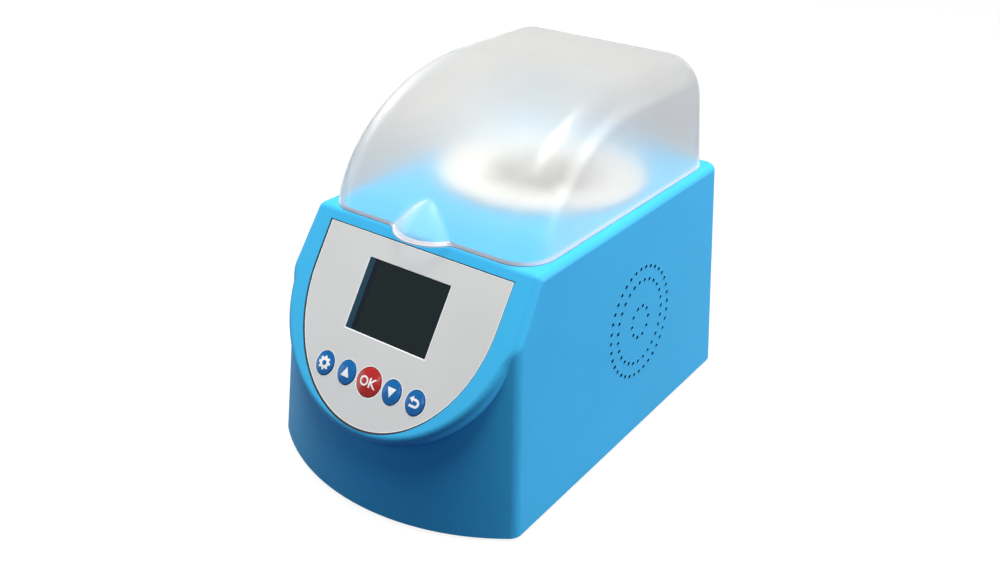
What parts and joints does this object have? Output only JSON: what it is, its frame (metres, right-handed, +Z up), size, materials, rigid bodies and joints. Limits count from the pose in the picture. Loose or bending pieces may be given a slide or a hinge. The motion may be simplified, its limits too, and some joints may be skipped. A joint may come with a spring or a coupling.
{
  "type": "portable oxygen demand digester",
  "caption": "Bench heating digester: bowed blue housing with a sloped key and display panel, frosted hinged lid over a vial block, feet, rear fan, power inlet and switch.",
  "frame": {"origin": "middle of the overall box at the level of the feet", "axes": "+X to the instrument's right seen from the front, the front faces -Y, +Z up"},
  "size_m": [0.186, 0.2901, 0.2328],
  "materials": {
    "housing_blue": "satin moulded ABS",
    "lid_frosted": "frosted polycarbonate, mostly clear",
    "panel_silver": "silver-grey printed overlay",
    "window_dark": "smoked display window",
    "module_black": "display module",
    "key_blue": "glossy crowned key",
    "key_red": "glossy crowned key",
    "board_green": "circuit board with its parts",
    "moulded_black": "black moulded plastic",
    "foot_rubber": "soft foot",
    "screw_steel": "plain steel",
    "bracket_steel": "plated sheet steel",
    "block_aluminium": "machined aluminium",
    "collar_white": "white heat-resistant ring",
    "jacket_fibre": "pressed ceramic fibre",
    "blade_brass": "contact blade"
  },
  "bodies": {
    "instrument": {"housing": "housing_blue", "panel_overlay": "panel_silver", "display_window": "window_dark", "display_module": "module_black", "keypad_board": "board_green", "control_board": "board_green", "base_plate": "moulded_black", "fan_frame": "moulded_black", "power_inlet": "moulded_black", "switch_body": "moulded_black", "feet": "foot_rubber", "base_screws": "screw_steel", "fan_screws": "screw_steel", "hinge_screws": "screw_steel", "hinge_pins": "screw_steel", "temperature_probe": "screw_steel", "heater_band": "screw_steel", "block_standoffs": "screw_steel", "hinge_brackets": "bracket_steel", "jacket_can": "bracket_steel", "thermal_cutout": "bracket_steel", "heating_block": "block_aluminium", "block_base": "block_aluminium", "power_supply": "block_aluminium", "block_collar": "collar_white", "insulation_jacket": "jacket_fibre", "inlet_blades": "blade_brass"},
    "lid": {"lid": "lid_frosted"},
    "fan_rotor": {"fan_rotor": "moulded_black"},
    "power_rocker": {"switch_rocker": "moulded_black"},
    "key_settings": {"key_settings": "key_blue"},
    "key_up": {"key_up": "key_blue"},
    "key_ok": {"key_ok": "key_red"},
    "key_down": {"key_down": "key_blue"},
    "key_back": {"key_back": "key_blue"}
  },
  "joints": [
    {"name": "lid_hinge", "type": "hinge", "parent": "instrument", "child": "lid", "pos_m": [0, 0.1413, 0.1585], "axis": [-1, 0, 0], "range_deg": [0, 100]},
    {"name": "power_switch", "type": "hinge", "parent": "instrument", "child": "power_rocker", "pos_m": [0.048, 0.13987, 0.10383], "axis": [-1, 0, 0], "range_deg": [0, 16]},
    {"name": "fan_spin", "type": "hinge", "parent": "instrument", "child": "fan_rotor", "pos_m": [-0.04, 0.13974, 0.08581], "axis": [0, 0.9991, 0.0424], "continuous": true},
    {"name": "key_settings_press", "type": "slide", "parent": "instrument", "child": "key_settings", "axis": [0, 0.8329, -0.5534], "range_m": [0, 0.0006], "stiffness_N_per_m": 1500, "springref_m": -0.0003},
    {"name": "key_up_press", "type": "slide", "parent": "instrument", "child": "key_up", "axis": [0, 0.8329, -0.5534], "range_m": [0, 0.0006], "stiffness_N_per_m": 1500, "springref_m": -0.0003},
    {"name": "key_ok_press", "type": "slide", "parent": "instrument", "child": "key_ok", "axis": [0, 0.8329, -0.5534], "range_m": [0, 0.0006], "stiffness_N_per_m": 1500, "springref_m": -0.0003},
    {"name": "key_down_press", "type": "slide", "parent": "instrument", "child": "key_down", "axis": [0, 0.8329, -0.5534], "range_m": [0, 0.0006], "stiffness_N_per_m": 1500, "springref_m": -0.0003},
    {"name": "key_back_press", "type": "slide", "parent": "instrument", "child": "key_back", "axis": [0, 0.8329, -0.5534], "range_m": [0, 0.0006], "stiffness_N_per_m": 1500, "springref_m": -0.0003}
  ]
}
